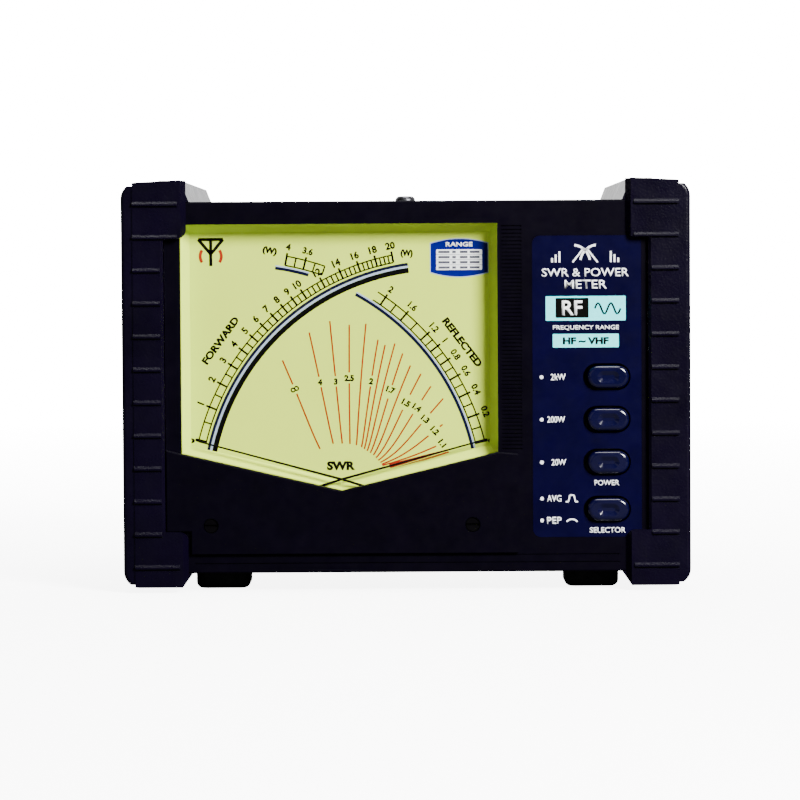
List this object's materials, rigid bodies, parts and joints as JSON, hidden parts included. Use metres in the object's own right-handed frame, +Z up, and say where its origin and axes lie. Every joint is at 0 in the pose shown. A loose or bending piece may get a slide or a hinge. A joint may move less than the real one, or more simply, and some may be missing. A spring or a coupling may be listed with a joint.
{
  "type": "swr meter",
  "caption": "Bench cross-needle SWR and power meter: ribbed side guards, lit dial window, push buttons, two rear coaxial sockets and a DC inlet.",
  "frame": {"origin": "on the ground under the middle of the overall width and depth", "axes": "+X to the right seen from the front, +Y to the rear, +Z up"},
  "size_m": [0.155, 0.128, 0.1126],
  "materials": {
    "guard_plastic": "fine pebble grain",
    "bezel_plastic": "fine satin grain",
    "label_print": "printed film, satin",
    "clear_window": "clear moulded acrylic",
    "dial_border": "translucent satin",
    "dial_print": "matt printed dial",
    "case_plastic": "moulded satin",
    "cover_paint": "fine textured paint",
    "black_screw": "blackened steel",
    "foot_rubber": "moulded rubber",
    "nickel": "nickel plate",
    "contact_brass": "turned brass",
    "insulator": "moulded insulating resin",
    "jack_plastic": "moulded",
    "button_plastic": "glossy moulded",
    "steel": "bright steel",
    "bridge_alloy": "satin",
    "hairspring_bronze": "rolled strip",
    "coil_winding": "enamelled winding",
    "needle_paint": "black paint",
    "adjuster_plastic": "moulded",
    "switch_plastic": "moulded",
    "circuit_board": "resist over laminate",
    "standoff_brass": "turned",
    "trimmer_plastic": "moulded",
    "box_tinplate": "tinplate",
    "ferrite": "sintered",
    "lamp_glass": "small filament lamp",
    "lead_pvc": "pvc sleeve"
  },
  "bodies": {
    "housing": {"left_cheek_guard": "guard_plastic", "right_cheek_guard": "guard_plastic", "front_bezel": "bezel_plastic", "chin_cover": "bezel_plastic", "label_plate": "label_print", "meter_window": "clear_window", "dial_surround": "dial_border", "dial_plate": "dial_print", "meter_case": "case_plastic", "top_cover": "cover_paint", "bottom_chassis": "cover_paint", "rear_panel": "cover_paint", "case_screws": "black_screw", "cheek_screws": "black_screw", "foot_screws": "black_screw", "rubber_feet": "foot_rubber", "tx_socket": "nickel", "ant_socket": "nickel", "socket_screws": "nickel", "dc_jack_nut": "nickel", "socket_contacts": "contact_brass", "line_rod": "contact_brass", "socket_insulators": "insulator", "dc_jack": "jack_plastic", "forward_yoke": "steel", "reflected_yoke": "steel", "forward_magnet": "steel", "reflected_magnet": "steel", "high_range_spring": "steel", "mid_range_spring": "steel", "low_range_spring": "steel", "selector_spring": "steel", "forward_bridge": "bridge_alloy", "reflected_bridge": "bridge_alloy", "forward_hairspring": "hairspring_bronze", "reflected_hairspring": "hairspring_bronze", "range_switch_bank": "switch_plastic", "selector_switch": "switch_plastic", "main_pcb": "circuit_board", "coupler_board": "circuit_board", "pcb_standoffs": "standoff_brass", "calibration_trimmers": "trimmer_plastic", "coupler_box": "box_tinplate", "coupler_lid": "box_tinplate", "coupler_toroids": "ferrite", "dial_lamps": "lamp_glass", "signal_leads": "lead_pvc", "power_lead": "lead_pvc"},
    "forward_pointer": {"forward_needle": "needle_paint", "forward_coil": "coil_winding"},
    "reflected_pointer": {"reflected_needle": "needle_paint", "reflected_coil": "coil_winding"},
    "forward_adjuster": {"forward_zero_screw": "adjuster_plastic"},
    "reflected_adjuster": {"reflected_zero_screw": "adjuster_plastic"},
    "forward_zero_lever": {"forward_zero_arm": "bridge_alloy"},
    "reflected_zero_lever": {"reflected_zero_arm": "bridge_alloy"},
    "high_range_key": {"high_range_button": "button_plastic"},
    "mid_range_key": {"mid_range_button": "button_plastic"},
    "low_range_key": {"low_range_button": "button_plastic"},
    "selector_key": {"selector_button": "button_plastic"}
  },
  "joints": [
    {"name": "forward_needle_turn", "type": "hinge", "parent": "housing", "child": "forward_pointer", "pos_m": [0.00935, -0.05, 0.0246], "axis": [0, 1, 0], "range_deg": [0, 67], "stiffness_Nm_per_rad": 0.0004, "springref_deg": -2.86, "deforming": ["forward_hairspring"]},
    {"name": "forward_zero_turn", "type": "hinge", "parent": "housing", "child": "forward_adjuster", "pos_m": [0.01795, -0.059, 0.0183], "axis": [0, 1, 0], "range_deg": [-40, 40]},
    {"name": "forward_zero_lever_turn", "type": "hinge", "parent": "housing", "child": "forward_zero_lever", "pos_m": [0.00935, -0.0532, 0.0246], "axis": [0, 1, 0], "range_deg": [-3, 3]},
    {"name": "reflected_needle_turn", "type": "hinge", "parent": "housing", "child": "reflected_pointer", "pos_m": [-0.04495, -0.05, 0.0246], "axis": [0, -1, 0], "range_deg": [0, 67], "stiffness_Nm_per_rad": 0.0004, "springref_deg": -2.86, "deforming": ["reflected_hairspring"]},
    {"name": "reflected_zero_turn", "type": "hinge", "parent": "housing", "child": "reflected_adjuster", "pos_m": [-0.05355, -0.059, 0.0183], "axis": [0, 1, 0], "range_deg": [-40, 40]},
    {"name": "reflected_zero_lever_turn", "type": "hinge", "parent": "housing", "child": "reflected_zero_lever", "pos_m": [-0.04495, -0.0532, 0.0246], "axis": [0, 1, 0], "range_deg": [-3, 3]},
    {"name": "high_range_press", "type": "slide", "parent": "housing", "child": "high_range_key", "axis": [0, 1, 0], "range_m": [0, 0.0025], "stiffness_N_per_m": 400, "springref_m": -0.0005, "deforming": ["high_range_spring"]},
    {"name": "mid_range_press", "type": "slide", "parent": "housing", "child": "mid_range_key", "axis": [0, 1, 0], "range_m": [0, 0.0025], "stiffness_N_per_m": 400, "springref_m": -0.0005, "deforming": ["mid_range_spring"]},
    {"name": "low_range_press", "type": "slide", "parent": "housing", "child": "low_range_key", "axis": [0, 1, 0], "range_m": [0, 0.0025], "stiffness_N_per_m": 400, "springref_m": -0.0005, "deforming": ["low_range_spring"]},
    {"name": "selector_press", "type": "slide", "parent": "housing", "child": "selector_key", "axis": [0, 1, 0], "range_m": [0, 0.0025], "stiffness_N_per_m": 400, "springref_m": -0.0005, "deforming": ["selector_spring"]}
  ],
  "couplings": [
    {"joint": "forward_zero_lever_turn", "follows": "forward_zero_turn", "ratio": 0.06162},
    {"joint": "reflected_zero_lever_turn", "follows": "reflected_zero_turn", "ratio": 0.06162}
  ]
}
